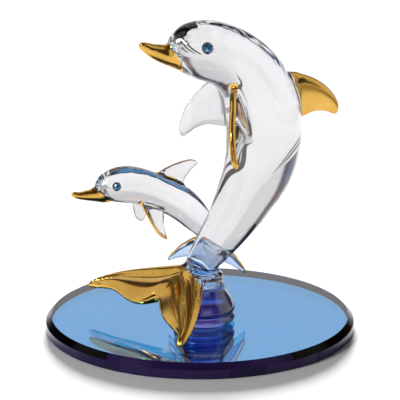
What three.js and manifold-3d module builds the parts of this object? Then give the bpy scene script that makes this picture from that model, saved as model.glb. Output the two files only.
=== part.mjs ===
// Glass dolphin figurine: a mother dolphin and her calf on a violet glass knob, on a bevelled mirror disc.
// Millimetres, +Z up. The origin is the middle of the disc's underside. Both dolphins head towards -X.
import * as THREE from "three";
import { mergeVertices } from "three/addons/utils/BufferGeometryUtils.js";
import Module from "manifold-3d";

// Mirror disc: a 4 inch round of 3/16 inch glass.
const DISC_D = 101.6;
const DISC_T = 4.76;
const BEVEL = 1.8;

// Knob: heights above the mirror and radii of its profile, before KNOB_H and KNOB_R scale them.
const KNOB_H = 11.8;
const KNOB_R = 10.1;
const KNOB_PROFILE = [
  [0.93, 0],
  [1, 0.1],
  [0.995, 0.17],
  [0.935, 0.245],
  [0.995, 0.345],
  [0.985, 0.45],
  [0.9, 0.61],
  [0.77, 0.8],
  [0.7, 0.93],
  [0.68, 1],
];

// Clear neck between the knob and the mother's tail stem.
const NECK_R = 6.8;

// Height of the mother's head above the mirror. Both dolphins are drawn in hundredths of it,
// and every height of theirs is above the mirror.
const FIGURE_H = 100;
const UNIT = FIGURE_H / 100;

// In the same hundredths: the mother's middle plane off the disc's centre, the calf's behind hers,
// and the knob's axis under her stem.
const MOTHER_Y = -7;
const CALF_BEHIND = 10;
const CALF_Y = MOTHER_Y + CALF_BEHIND;
const KNOB_X = -1.3;
const KNOB_AXIS = [KNOB_X * UNIT, MOTHER_Y * UNIT];

// Mother. A station is [x, height, half height, half width] of a section square to the midline.
const MOTHER_BEAK = [
  [-23.6, 93.8, 0.5, 0.5],
  [-22.9, 93.6, 1.35, 1.35],
  [-21.3, 92.8, 1.7, 1.7],
  [-18.6, 91.4, 2.5, 2.3],
  [-15.2, 90.2, 3.25, 2.9],
  [-11.6, 89.3, 4.0, 3.7],
  [-7.5, 88.6, 5.2, 5.0],
  [-4, 88, 3, 3],
];
const MOTHER_BODY = [
  [-13.4, 91.0, 1.2, 1.2],
  [-12.7, 91.1, 3.8, 3.8],
  [-10.4, 91.2, 6.5, 6.4],
  [-6.2, 91.0, 8.8, 8.7],
  [-0.4, 90.1, 9.8, 9.7],
  [5.0, 88.2, 9.9, 9.8],
  [10.2, 85.0, 10.3, 10.2],
  [14.9, 79.9, 11.0, 10.9],
  [18.0, 73.3, 11.7, 11.7],
  [19.4, 66, 12.3, 12.3],
  [19.4, 58, 12.2, 12.2],
  [17.6, 49.4, 11.3, 11.3],
  [13.6, 41.5, 9.8, 9.8],
  [8.9, 33.9, 8.2, 8.2],
  [3.7, 27, 6.75, 6.75],
  [-1.4, 21.1, 5.4, 5.4],
  [-4.9, 17.3, 3.6, 5.0],
  [-8.0, 14.8, 2.2, 5.2],
  [-10.5, 13.2, 1.0, 3.4],
];
// Dorsal fin in the middle plane: [x, height] down the leading and the trailing edge.
const MOTHER_DORSAL = {
  lead: [
    [20, 82],
    [28.4, 81.0],
    [34.3, 79.1],
    [39.8, 76.2],
    [44.2, 71.8],
    [46.1, 67.6],
    [45.6, 64.9],
  ],
  trail: [
    [26, 63.5],
    [33.2, 65.3],
    [36.0, 66.4],
    [38.6, 66.8],
    [41.6, 66.3],
    [43.8, 65.4],
    [45.3, 64.6],
  ],
  root: 4.4,
  tip: 1.7,
};
// Flipper: [x, distance from the middle plane, height], the same both sides.
const MOTHER_FLIPPER = {
  lead: [
    [9.0, 3.5, 81.5],
    [4.3, 9.5, 78],
    [2.6, 13.4, 74.5],
    [0.9, 16.7, 70.5],
    [-0.3, 19.6, 66.5],
    [-0.9, 21.8, 61.5],
    [-0.8, 23.0, 58.3],
    [0.0, 23.2, 56.1],
  ],
  trail: [
    [14.0, 5.0, 62.5],
    [10.2, 9.5, 62],
    [6.5, 14, 62],
    [4.9, 16.0, 61.4],
    [3.5, 17.9, 60.4],
    [2.3, 19.8, 58.9],
    [1.4, 21.4, 57.4],
    [0.4, 22.9, 55.9],
  ],
  root: 4.2,
  tip: 1.8,
};
// Flukes: the end of the stem and the two tips as [x, distance from the middle plane, height],
// and the outline of each lobe.
// An outline point is [part of the way back to the line of the tips, part of the way out to the tip].
const MOTHER_FLUKE = {
  stem: [-4.5, 0, 17.3],
  tips: [
    [-20.8, -25.9, 1.0],
    [-33.0, 25.6, 7.6],
  ],
  lead: [
    [-0.06, 0.0],
    [0.02, 0.18],
    [0.14, 0.35],
    [0.31, 0.55],
    [0.49, 0.73],
    [0.68, 0.88],
    [0.83, 0.97],
    [0.94, 1.01],
    [1.0, 1.0],
  ],
  trails: [
    [
      [0.56, -0.04],
      [0.65, 0.13],
      [0.725, 0.29],
      [0.76, 0.46],
      [0.8, 0.63],
      [0.845, 0.77],
      [0.92, 0.88],
      [1.0, 0.97],
    ],
    [
      [0.58, -0.06],
      [0.78, 0.07],
      [0.84, 0.21],
      [0.85, 0.36],
      [0.84, 0.5],
      [0.84, 0.63],
      [0.88, 0.75],
      [0.95, 0.87],
      [1.0, 0.97],
    ],
  ],
  root: 4.3,
  tip: 1.7,
};

// Calf, in its own middle plane just behind the mother's tail stem.
const CALF_BEAK = [
  [-43.3, 44.4, 0.35, 0.35],
  [-42.7, 44.4, 0.95, 0.95],
  [-40.6, 43.7, 1.25, 1.25],
  [-37.9, 43.5, 1.75, 1.7],
  [-34.8, 43.6, 2.6, 2.4],
  [-31.5, 43.8, 3.4, 3.2],
  [-28.5, 44, 2, 2],
];
const CALF_BODY = [
  [-35.0, 44.5, 0.8, 0.8],
  [-34.4, 44.5, 2.6, 2.5],
  [-32.8, 44.9, 3.9, 3.9],
  [-30.6, 45.5, 5.0, 5.0],
  [-27.3, 46.0, 5.9, 5.8],
  [-23.1, 45.6, 6.1, 6.0],
  [-18.9, 44.4, 5.9, 5.9],
  [-13.8, 42.2, 5.7, 5.7],
  [-7.1, 38.6, 5.7, 5.7],
  [-3.0, 35.2, 5.4, 5.4],
  [-0.2, 32.1, 4.9, 4.9],
  [2.2, 29.2, 4.1, 4.1],
  [4.1, 25.7, 3.2, 3.2],
  [5.2, 22.8, 2.2, 2.6],
  [5.8, 20.6, 0.9, 1.4],
];
const CALF_DORSAL = {
  lead: [
    [-15.5, 46.0],
    [-13.3, 48.8],
    [-10, 50.2],
    [-6.7, 51.2],
    [-3, 51.8],
    [-0.6, 51.5],
    [0.7, 50.4],
  ],
  trail: [
    [-6.5, 41.0],
    [-4.5, 43.6],
    [-4.1, 45.6],
    [-2.9, 47.4],
    [-1.6, 48.8],
    [-0.3, 49.6],
    [0.6, 50.1],
  ],
  root: 2.6,
  tip: 1.1,
};
const CALF_FLIPPER = {
  lead: [
    [-21.4, 2.0, 42.4],
    [-20.9, 4.5, 39.9],
    [-19.6, 7.2, 35.9],
    [-17.9, 9.6, 32.0],
    [-16.0, 11.0, 30.0],
    [-14.6, 11.6, 29.0],
  ],
  trail: [
    [-12.4, 2.4, 39.0],
    [-13.2, 4.7, 36.0],
    [-14.3, 7.0, 33.9],
    [-14.7, 9.2, 31.2],
    [-14.6, 10.6, 29.9],
    [-14.4, 11.5, 28.9],
  ],
  root: 2.5,
  tip: 1.2,
};
const CALF_FLUKE = {
  stem: [4.0, 0.3, 24.9],
  tips: [
    [18.5, 1.6, 10.1],
    [-4.1, 15.9, 13.2],
  ],
  lead: [
    [-0.04, 0.0],
    [0.02, 0.16],
    [0.12, 0.34],
    [0.28, 0.52],
    [0.46, 0.69],
    [0.68, 0.84],
    [0.88, 0.97],
    [1.0, 1.0],
  ],
  trails: [
    [
      [0.56, -0.05],
      [0.68, 0.2],
      [0.72, 0.42],
      [0.79, 0.63],
      [0.87, 0.79],
      [0.96, 0.92],
      [1.02, 0.98],
    ],
  ],
  root: 2.8,
  tip: 1.2,
};

// Eye stones: girdle diameter, height, and [x, height] of the centre as seen from the side.
const MOTHER_EYE = { d: 4, h: 1.9, at: [-3.7, 92.9] };
const CALF_EYE = { d: 3, h: 1.5, at: [-29.5, 46.9] };
const EYE_SIDES = 10;
const EYE_SUNK = 0.4;
const EYE_CLEARANCE = 0.2;

// Gap that stands for a fused seam between two gathers of glass.
const SEAM = 0.3;

const wasm = await Module();
wasm.setup();

// Joins an indexed or plain geometry into a manifold-3d solid.
function solidOf(geometry) {
  geometry.deleteAttribute("normal");
  geometry.deleteAttribute("uv");
  const merged = mergeVertices(geometry, 1e-4);
  return new wasm.Manifold(
    new wasm.Mesh({
      numProp: 3,
      vertProperties: merged.attributes.position.array,
      triVerts: new Uint32Array(merged.index.array),
    }),
  );
}

// Rings of equal length, closed by a point at each end, as a solid.
function skin(rings, first, last) {
  const count = rings[0].length;
  const points = [first, ...rings.flat(), last];
  const end = points.length - 1;
  const faces = [];
  for (let j = 0; j < count; j++) {
    const k = (j + 1) % count;
    faces.push(0, 1 + k, 1 + j);
    for (let i = 0; i < rings.length - 1; i++) {
      const a = 1 + i * count;
      const b = a + count;
      faces.push(a + j, a + k, b + j, a + k, b + k, b + j);
    }
    const c = 1 + (rings.length - 1) * count;
    faces.push(c + j, c + k, end);
  }
  const geometry = new THREE.BufferGeometry();
  const flat = points.flatMap((p) => [p.x, p.y, p.z]);
  geometry.setAttribute("position", new THREE.Float32BufferAttribute(flat, 3));
  geometry.setIndex(faces);
  const made = solidOf(geometry);
  if (made.volume() > 0) return made;
  const turned = [];
  for (let i = 0; i < faces.length; i += 3) turned.push(faces[i], faces[i + 2], faces[i + 1]);
  geometry.setIndex(turned);
  return solidOf(geometry);
}

// Smooth curve through rows of numbers, read at t from 0 to 1 by its length along the rows.
function curveThrough(rows) {
  const at = [0];
  for (let i = 1; i < rows.length; i++) {
    const step = Math.hypot(...rows[i].map((v, k) => v - rows[i - 1][k]));
    at.push(at[i - 1] + step);
  }
  const slope = (i, k) => {
    const a = Math.max(0, i - 1);
    const b = Math.min(rows.length - 1, i + 1);
    return (rows[b][k] - rows[a][k]) / (at[b] - at[a]);
  };
  return (t) => {
    const s = t * at[at.length - 1];
    let i = 0;
    while (i < rows.length - 2 && s > at[i + 1]) i++;
    const h = at[i + 1] - at[i];
    const u = Math.min(1, Math.max(0, (s - at[i]) / h));
    return rows[i].map(
      (v, k) =>
        (2 * u ** 3 - 3 * u ** 2 + 1) * v +
        (u ** 3 - 2 * u ** 2 + u) * h * slope(i, k) +
        (3 * u ** 2 - 2 * u ** 3) * rows[i + 1][k] +
        (u ** 3 - u ** 2) * h * slope(i + 1, k),
    );
  };
}

// Height above the mirror to height above the table.
const lift = (height) => DISC_T + height * UNIT;
const place = (x, y, height) => new THREE.Vector3(x * UNIT, y * UNIT, lift(height));

// Round body through stations in the plane y, each section square to the midline.
function body(stations, y, rings, sides, grow = 0) {
  const curve = curveThrough(stations);
  const made = [];
  for (let i = 0; i < rings; i++) {
    const t = (i + 0.5) / rings;
    const [x, h, tall, wide] = curve(t);
    const a = curve(Math.max(0, t - 0.01));
    const b = curve(Math.min(1, t + 0.01));
    const along = new THREE.Vector3(b[0] - a[0], 0, b[1] - a[1]).normalize();
    const up = new THREE.Vector3(-along.z, 0, along.x);
    const centre = place(x, y, h);
    const ring = [];
    for (let j = 0; j < sides; j++) {
      const angle = (2 * Math.PI * (j + 0.5)) / sides;
      const p = centre.clone();
      p.addScaledVector(up, (tall * UNIT + grow) * Math.cos(angle));
      p.y += (wide * UNIT + grow) * Math.sin(angle);
      ring.push(p);
    }
    made.push(ring);
  }
  const ends = [curve(0), curve(1)].map((s) => place(s[0], y, s[1]));
  return skin(made, ends[0], ends[1]);
}

// Fin between a leading and a trailing edge, thickest near the leading edge and at the root.
function blade(lead, trail, root, tip, rings, sides, grow = 0) {
  const front = curveThrough(lead);
  const back = curveThrough(trail);
  const edge = (t) => [new THREE.Vector3(...front(t)), new THREE.Vector3(...back(t))];
  const middle = (t) => {
    const [a, b] = edge(t);
    return a.add(b).multiplyScalar(0.5);
  };
  const made = [];
  for (let i = 0; i < rings; i++) {
    const t = Math.sin((i / (rings - 0.4)) * (Math.PI / 2)) ** 1.15;
    const [a, b] = edge(t);
    const half = a.clone().sub(b).multiplyScalar(0.5);
    const span = middle(Math.min(1, t + 0.01)).sub(middle(Math.max(0, t - 0.01)));
    const normal = half.clone().cross(span).normalize();
    const flare = 1 + 0.5 * Math.max(0, 1 - t / 0.3) ** 2;
    const full = (root + (tip - root) * t) * UNIT;
    const thick = Math.min(full, 1.5 * half.length()) * flare;
    const centre = a.clone().add(b).multiplyScalar(0.5);
    const reach = 1 + grow / Math.max(0.5, half.length());
    const ring = [];
    for (let j = 0; j < sides; j++) {
      const angle = (2 * Math.PI * j) / sides;
      const c = Math.cos(angle);
      const s = Math.sin(angle);
      const over = (thick / 2 + grow) * Math.sign(s) * Math.abs(s) ** 0.8 * (1 + 0.25 * c);
      ring.push(centre.clone().addScaledVector(half, c * reach).addScaledVector(normal, over));
    }
    made.push(ring);
  }
  return skin(made, middle(0), middle(1));
}

function dorsal(fin, y, rings, sides, grow) {
  const set = (rows) => rows.map(([x, h]) => place(x, y, h).toArray());
  return blade(set(fin.lead), set(fin.trail), fin.root, fin.tip, rings, sides, grow);
}

function flipper(fin, y, side, rings, sides, grow) {
  const set = (rows) => rows.map(([x, out, h]) => place(x, y + side * out, h).toArray());
  return blade(set(fin.lead), set(fin.trail), fin.root, fin.tip, rings, sides, grow);
}

function flukes(fluke, y, rings, sides, grow) {
  const at = ([x, out, h]) => place(x, y + out, h);
  const stem = at(fluke.stem);
  const tips = fluke.tips.map(at);
  const centre = tips[0].clone().add(tips[1]).multiplyScalar(0.5);
  const lobes = tips.map((tip, i) => {
    const back = centre.clone().sub(stem);
    const out = tip.clone().sub(centre);
    const set = (rows) =>
      rows.map(([u, v]) => stem.clone().addScaledVector(back, u).addScaledVector(out, v).toArray());
    const trail = fluke.trails[i % fluke.trails.length];
    return blade(set(fluke.lead), set(trail), fluke.root, fluke.tip, rings, sides, grow);
  });
  return lobes[0].add(lobes[1]);
}

// Turned piece about a vertical axis, from [radius, height] points that start and end on the axis.
function turned(profile, axis, base, sides) {
  const points = profile.map(([r, h]) => new THREE.Vector2(r, h));
  const geometry = new THREE.LatheGeometry(points, sides);
  geometry.rotateX(Math.PI / 2);
  geometry.translate(axis[0], axis[1], base);
  return solidOf(geometry);
}

// Faceted stone: flat back at the origin, table towards +Z.
function stone(eye, grow = 0) {
  const r = eye.d / 2 + grow;
  const h = eye.h + grow;
  const profile = [
    [0, -grow],
    [r, -grow],
    [r, h * 0.25],
    [r * 0.72, h * 0.75],
    [r * 0.4, h],
    [0, h],
  ];
  return turned(profile, [0, 0], 0, EYE_SIDES);
}

// Where a stone sits: its axis is square to the body's surface at the eye.
function eyeSeat(eye, stations, y, side) {
  const curve = curveThrough(stations);
  let best = null;
  for (let i = 0; i <= 200; i++) {
    const s = curve(i / 200);
    const gap = Math.hypot(s[0] - eye.at[0], s[1] - eye.at[1]);
    if (!best || gap < best.gap) best = { gap, s };
  }
  const [x, h, tall, wide] = best.s;
  const up = Math.min(0.6, best.gap / tall);
  const rise = eye.at[1] > h ? 1 : -1;
  const out = Math.sqrt(1 - up * up);
  const away = new THREE.Vector3((eye.at[0] - x) / tall, 0, (eye.at[1] - h) / tall);
  const centre = place(x, y, h);
  const surface = centre.clone().addScaledVector(away, tall * UNIT);
  surface.y += side * wide * out * UNIT;
  const normal = new THREE.Vector3(away.x, (side * out * tall) / wide, away.z).normalize();
  if (rise < 0) normal.z = -Math.abs(normal.z);
  const sag = tall - Math.sqrt(Math.max(0, tall * tall - (eye.d / 2) ** 2));
  const seat = surface.addScaledVector(normal, -(sag * UNIT + EYE_SUNK));
  const turn = new THREE.Quaternion().setFromUnitVectors(new THREE.Vector3(0, 0, 1), normal);
  return new THREE.Matrix4().compose(seat, turn, new THREE.Vector3(1, 1, 1));
}

const moved = (solid, matrix) => solid.transform(matrix.elements);

// Mirror disc.
const discR = DISC_D / 2;
const disc = turned(
  [
    [0, 0],
    [discR, 0],
    [discR, DISC_T - BEVEL],
    [discR - BEVEL, DISC_T],
    [0, DISC_T],
  ],
  [0, 0],
  0,
  96,
);

// Mother: everything except the neck, also made a seam's width larger to cut her neighbours.
function mother(grow = 0) {
  return wasm.Manifold.union([
    body(MOTHER_BODY, MOTHER_Y, 34, 26, grow),
    body(MOTHER_BEAK, MOTHER_Y, 12, 16, grow),
    dorsal(MOTHER_DORSAL, MOTHER_Y, 11, 14, grow),
    flipper(MOTHER_FLIPPER, MOTHER_Y, -1, 12, 14, grow),
    flipper(MOTHER_FLIPPER, MOTHER_Y, 1, 12, 14, grow),
    flukes(MOTHER_FLUKE, MOTHER_Y, 14, 14, grow),
  ]);
}

function calf() {
  return wasm.Manifold.union([
    body(CALF_BODY, CALF_Y, 24, 20),
    body(CALF_BEAK, CALF_Y, 10, 12),
    dorsal(CALF_DORSAL, CALF_Y, 10, 12),
    flipper(CALF_FLIPPER, CALF_Y, -1, 9, 10),
    flipper(CALF_FLIPPER, CALF_Y, 1, 9, 10),
    flukes(CALF_FLUKE, CALF_Y, 9, 10),
  ]);
}

const knobProfile = KNOB_PROFILE.map(([r, h]) => [r * KNOB_R, h * KNOB_H]);
const knobFull = turned([[0, 0], ...knobProfile, [0, KNOB_H]], KNOB_AXIS, DISC_T, 40);

const neckH = lift(MOTHER_FLUKE.stem[2]) - DISC_T - KNOB_H;
const neck = turned(
  [
    [0, 0],
    [NECK_R * 0.97, 0],
    [NECK_R, neckH * 0.08],
    [NECK_R * 0.94, neckH * 0.35],
    [NECK_R * 0.91, neckH * 0.75],
    [NECK_R * 0.7, neckH],
    [0, neckH],
  ],
  KNOB_AXIS,
  DISC_T + KNOB_H,
  32,
);

const motherBody = mother();
const motherGrown = mother(SEAM);
const knob = knobFull.subtract(motherGrown);

const eyes = {};
function pairOfEyes(name, eye, stations, y) {
  const pockets = [];
  for (const [side, label] of [
    [-1, "left"],
    [1, "right"],
  ]) {
    const seat = eyeSeat(eye, stations, y, side);
    eyes[name + "_eye_" + label] = moved(stone(eye), seat);
    pockets.push(moved(stone(eye, EYE_CLEARANCE), seat));
  }
  return pockets;
}

// Everything up to a seam's height above the mirror, to keep fins and flukes off it.
const floorCut = turned(
  [
    [0, -DISC_T],
    [DISC_D, -DISC_T],
    [DISC_D, SEAM],
    [0, SEAM],
  ],
  [0, 0],
  DISC_T,
  32,
);

const motherPockets = pairOfEyes("mother", MOTHER_EYE, MOTHER_BODY, MOTHER_Y);
const calfPockets = pairOfEyes("calf", CALF_EYE, CALF_BODY, CALF_Y);

const motherWhole = motherBody
  .add(neck)
  .subtract(floorCut)
  .subtract(motherPockets[0])
  .subtract(motherPockets[1]);
const neckGrown = turned(
  [
    [0, -SEAM],
    [NECK_R + SEAM, -SEAM],
    [NECK_R + SEAM, neckH + SEAM],
    [0, neckH + SEAM],
  ],
  KNOB_AXIS,
  DISC_T + KNOB_H,
  32,
);
const calfWhole = calf()
  .subtract(motherGrown)
  .subtract(neckGrown)
  .subtract(floorCut)
  .subtract(calfPockets[0])
  .subtract(calfPockets[1]);

function mesh(name, solid, material) {
  const made = solid.getMesh();
  const count = made.numProp;
  const positions = new Float32Array(made.numVert * 3);
  for (let i = 0; i < made.numVert; i++) {
    positions.set(made.vertProperties.subarray(i * count, i * count + 3), i * 3);
  }
  const geometry = new THREE.BufferGeometry();
  geometry.setAttribute("position", new THREE.BufferAttribute(positions, 3));
  geometry.setIndex(new THREE.BufferAttribute(new Uint32Array(made.triVerts), 1));
  geometry.computeVertexNormals();
  const out = new THREE.Mesh(geometry, material);
  out.name = name;
  return out;
}

const finish = (color, metalness, roughness, opacity = 1) =>
  new THREE.MeshStandardMaterial({
    color,
    metalness,
    roughness,
    opacity,
    transparent: opacity < 1,
    flatShading: true,
  });

const figurine = new THREE.Group();
figurine.name = "glass_dolphin_figurine";
figurine.add(
  mesh("mirror_base", disc, finish(0x86acd8, 0.9, 0.05)),
  mesh("cobalt_knob", knob, finish(0x2e1f7a, 0, 0.08, 0.8)),
  mesh("mother_dolphin", motherWhole, finish(0xf1f5f8, 0, 0.04, 0.35)),
  mesh("calf_dolphin", calfWhole, finish(0xeef4f8, 0, 0.04, 0.35)),
);
for (const [name, solid] of Object.entries(eyes)) {
  figurine.add(mesh(name, solid, finish(0x1d5fa8, 0.1, 0.05)));
}

export default figurine;
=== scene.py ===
"""A clear glass dolphin and her calf over a blue mirror disc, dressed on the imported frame."""

import logging
import math
from collections.abc import Callable, Sequence
from dataclasses import dataclass
from enum import Enum

import bmesh
import bpy
import numpy as np
from mathutils import Matrix, Vector, noise
from mathutils.bvhtree import BVHTree


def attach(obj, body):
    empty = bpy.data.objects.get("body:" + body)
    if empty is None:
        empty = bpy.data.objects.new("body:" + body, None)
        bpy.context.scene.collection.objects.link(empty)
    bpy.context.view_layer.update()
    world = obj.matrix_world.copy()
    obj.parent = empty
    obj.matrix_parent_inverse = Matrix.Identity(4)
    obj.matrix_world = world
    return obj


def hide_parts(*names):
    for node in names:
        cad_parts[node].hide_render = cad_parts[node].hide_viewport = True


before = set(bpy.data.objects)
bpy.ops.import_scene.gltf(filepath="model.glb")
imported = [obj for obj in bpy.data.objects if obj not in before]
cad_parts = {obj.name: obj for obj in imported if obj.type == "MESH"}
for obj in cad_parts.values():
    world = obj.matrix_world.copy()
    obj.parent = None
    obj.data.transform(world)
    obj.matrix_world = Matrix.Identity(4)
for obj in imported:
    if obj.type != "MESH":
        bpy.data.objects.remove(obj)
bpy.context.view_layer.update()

log = logging.getLogger("figurine")
MM = 0.001
Rows = Sequence[Sequence[float]]
Rings = Sequence[tuple[Vector, Vector, Vector]]
Stops = Sequence[tuple[float, tuple]]
Socket = bpy.types.NodeSocket
Piece = bpy.types.Object
Material = bpy.types.Material
# Each side of a place on a line, to find the line's way there.
STEP = 0.01
# What rounding by subdivision leaves of a ring's radius.
SHRUNK = 0.9925
# The way that a carved lobe's front face looks.
FRONT = (0.3, -0.9, 0.6)
# Clear distance between the two dolphins, in metres.
CALF_SEAM = 0.12 * MM


class Side(Enum):
    """The two sides of a dolphin, by the sign of its y."""

    LEFT = -1
    RIGHT = 1


@dataclass(frozen=True)
class Stand:
    """Sizes that several pieces share, in millimetres."""

    disc_d: float = 101.6
    disc_t: float = 4.76
    bevel: float = 1.8
    knob_h: float = 11.8
    knob_r: float = 10.1
    knob_x: float = -1.3
    mother_y: float = -7.0
    calf_y: float = 3.0
    seam: float = 0.3


STAND = Stand()


def place(x: float, y: float, height: float) -> Vector:
    """A point in metres from millimetres, its height counted from the mirror's face."""
    return Vector((x * MM, y * MM, (STAND.disc_t + height) * MM))


class Line:
    """A smooth line through rows of numbers, read from 0 to 1 along its length."""

    def __init__(self, rows: Rows) -> None:
        """Keeps the rows, their places along the line and their slopes.

        Args:
            rows: points of any number of values each.
        """
        self.rows = np.array(rows, float)
        steps = np.linalg.norm(np.diff(self.rows, axis=0), axis=1)
        self.at = np.concatenate([[0.0], np.cumsum(steps)])
        n = np.arange(len(rows))
        lo, hi = np.maximum(n - 1, 0), np.minimum(n + 1, len(rows) - 1)
        self.slope = (self.rows[hi] - self.rows[lo]) / (self.at[hi] - self.at[lo])[:, None]

    def __call__(self, t: float) -> np.ndarray:
        """The row at t.

        Args:
            t: place along the line, from 0 to 1.

        Returns:
            One value for each column of the rows.
        """
        s = t * self.at[-1]
        i = int(np.clip(np.searchsorted(self.at, s, side="left") - 1, 0, len(self.rows) - 2))
        h = self.at[i + 1] - self.at[i]
        u = float(np.clip((s - self.at[i]) / h, 0.0, 1.0))
        return (
            (2 * u**3 - 3 * u**2 + 1) * self.rows[i]
            + (u**3 - 2 * u**2 + u) * h * self.slope[i]
            + (3 * u**2 - 2 * u**3) * self.rows[i + 1]
            + (u**3 - u**2) * h * self.slope[i + 1]
        )


class Bench:
    """Hand operations that every piece is made with."""

    @staticmethod
    def clear() -> None:
        """Deselects everything."""
        if bpy.context.object and bpy.context.object.mode != "OBJECT":
            bpy.ops.object.mode_set(mode="OBJECT")
        bpy.ops.object.select_all(action="DESELECT")

    @staticmethod
    def pick(*pieces: Piece) -> None:
        """Selects these pieces alone and makes the first one active."""
        Bench.clear()
        for piece in pieces:
            piece.select_set(True)
        bpy.context.view_layer.objects.active = pieces[0]

    @staticmethod
    def add(name: str, data: bpy.types.ID) -> Piece:
        """A new object in the scene."""
        made = bpy.data.objects.new(name, data)
        bpy.context.scene.collection.objects.link(made)
        return made

    @staticmethod
    def ring(piece: Piece, centre: Vector, a: Vector, b: Vector, sides: int, blunt: float) -> None:
        """Adds one closed ring in edit mode.

        Args:
            piece: the mesh that is being edited.
            centre: middle of the ring.
            a: first half axis.
            b: second half axis, square to the first.
            sides: number of corners.
            blunt: 1 for an oval, less for flatter faces and rounder edges.
        """
        x, y = a.normalized(), b.normalized()
        turn = Matrix((x, y, x.cross(y))).transposed().to_euler()
        bpy.ops.mesh.primitive_circle_add(
            vertices=sides, radius=a.length, location=centre, rotation=turn
        )
        bm = bmesh.from_edit_mesh(piece.data)
        bm.verts.ensure_lookup_table()
        for vert in bm.verts[-sides:]:
            up = (vert.co - centre).dot(y) / a.length
            vert.co += y * (math.copysign(abs(up) ** blunt, up) * b.length - up * a.length)
        bmesh.update_edit_mesh(piece.data)

    @staticmethod
    def keep_selected(piece: Piece, first: int, last: int) -> None:
        """Selects the corners from first up to last in edit mode, and nothing else."""
        bm = bmesh.from_edit_mesh(piece.data)
        bm.verts.ensure_lookup_table()
        for item in (*bm.faces, *bm.edges):
            item.select = False
        for i, vert in enumerate(bm.verts):
            vert.select = first <= i < last
        bm.select_flush(True)
        bmesh.update_edit_mesh(piece.data)

    @staticmethod
    def tube(name: str, rings: Rings, sides: int, blunt: float = 1.0) -> Piece:
        """A closed skin bridged from ring to ring, with both ends filled.

        Args:
            name: the piece's name.
            rings: centre and two half axes of each ring, in order.
            sides: corners of each ring.
            blunt: the rings' bluntness, as for one ring.

        Returns:
            The tube, its faces outwards.
        """
        Bench.clear()
        piece = Bench.add(name, bpy.data.meshes.new(name))
        Bench.pick(piece)
        bpy.ops.object.mode_set(mode="EDIT")
        bpy.ops.mesh.select_mode(type="VERT")
        for i, (centre, a, b) in enumerate(rings):
            Bench.ring(piece, centre, a, b, sides, blunt)
            if i:
                Bench.keep_selected(piece, (i - 1) * sides, (i + 1) * sides)
                bpy.ops.mesh.bridge_edge_loops()
        for start in (0, (len(rings) - 1) * sides):
            Bench.keep_selected(piece, start, start + sides)
            bpy.ops.mesh.edge_face_add()
        bpy.ops.mesh.select_all(action="SELECT")
        bpy.ops.mesh.normals_make_consistent(inside=False)
        bpy.ops.object.mode_set(mode="OBJECT")
        return piece

    @staticmethod
    def skin(name: str, rings: Rings, sides: int, blunt: float = 1.0, levels: int = 2) -> Piece:
        """A tube rounded by subdivision."""
        piece = Bench.tube(name, rings, sides, blunt)
        Bench.modify(piece, "SUBSURF", levels=levels, render_levels=levels)
        return piece

    @staticmethod
    def modify(piece: Piece, kind: str, **settings: object) -> None:
        """Adds one modifier, sets it and applies it.

        Args:
            piece: the mesh to change.
            kind: the modifier's type.
            settings: its settings by name.
        """
        Bench.pick(piece)
        modifier = piece.modifiers.new(kind.lower(), kind)
        for key, value in settings.items():
            setattr(modifier, key, value)
        bpy.ops.object.modifier_apply(modifier=modifier.name)

    @staticmethod
    def join(pieces: Sequence[Piece]) -> Piece:
        """Joins pieces into the first one and returns it."""
        Bench.pick(*pieces)
        bpy.ops.object.join()
        return pieces[0]

    @staticmethod
    def read(items: bpy.types.bpy_prop_collection, name: str, width: int, kind: type) -> np.ndarray:
        """One attribute of a mesh's items, a row to each."""
        values = np.empty(len(items) * width, kind)
        items.foreach_get(name, values)
        return values.reshape(-1, width)

    @staticmethod
    def corners(piece: Piece) -> np.ndarray:
        """The mesh's corners as rows of x, y, z in metres."""
        return Bench.read(piece.data.vertices, "co", 3, np.float32).astype(float)

    @staticmethod
    def set_corners(piece: Piece, co: np.ndarray) -> None:
        """Writes the mesh's corners back."""
        piece.data.vertices.foreach_set("co", co.astype(np.float32).ravel())
        piece.data.update()

    @staticmethod
    def tree(piece: Piece) -> BVHTree:
        """The mesh's faces in a form that finds the nearest one."""
        bm = bmesh.new()
        bm.from_mesh(piece.data)
        made = BVHTree.FromBMesh(bm)
        bm.free()
        return made

    @staticmethod
    def gap(tree: BVHTree, points: np.ndarray) -> np.ndarray:
        """How far points stand outside a closed skin.

        Args:
            tree: the skin's faces.
            points: rows of x, y, z in metres.

        Returns:
            Distances in metres, below zero inside.
        """
        out = np.empty(len(points))
        for i, p in enumerate(points):
            where, normal, _, distance = tree.find_nearest(Vector(p))
            out[i] = distance if (Vector(p) - where).dot(normal) >= 0 else -distance
        return out

    @staticmethod
    def paint(piece: Piece, *materials: Material) -> None:
        """Gives the piece these materials and no other."""
        piece.data.materials.clear()
        for material in materials:
            piece.data.materials.append(material)

    @staticmethod
    def finish(piece: Piece, node: str, slot: str) -> None:
        """Puts a finished piece on the frame in place of its node."""
        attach(piece, "root")
        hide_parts(node)
        log.info("%s: %d faces", piece.name, len(piece.data.polygons))


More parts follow.
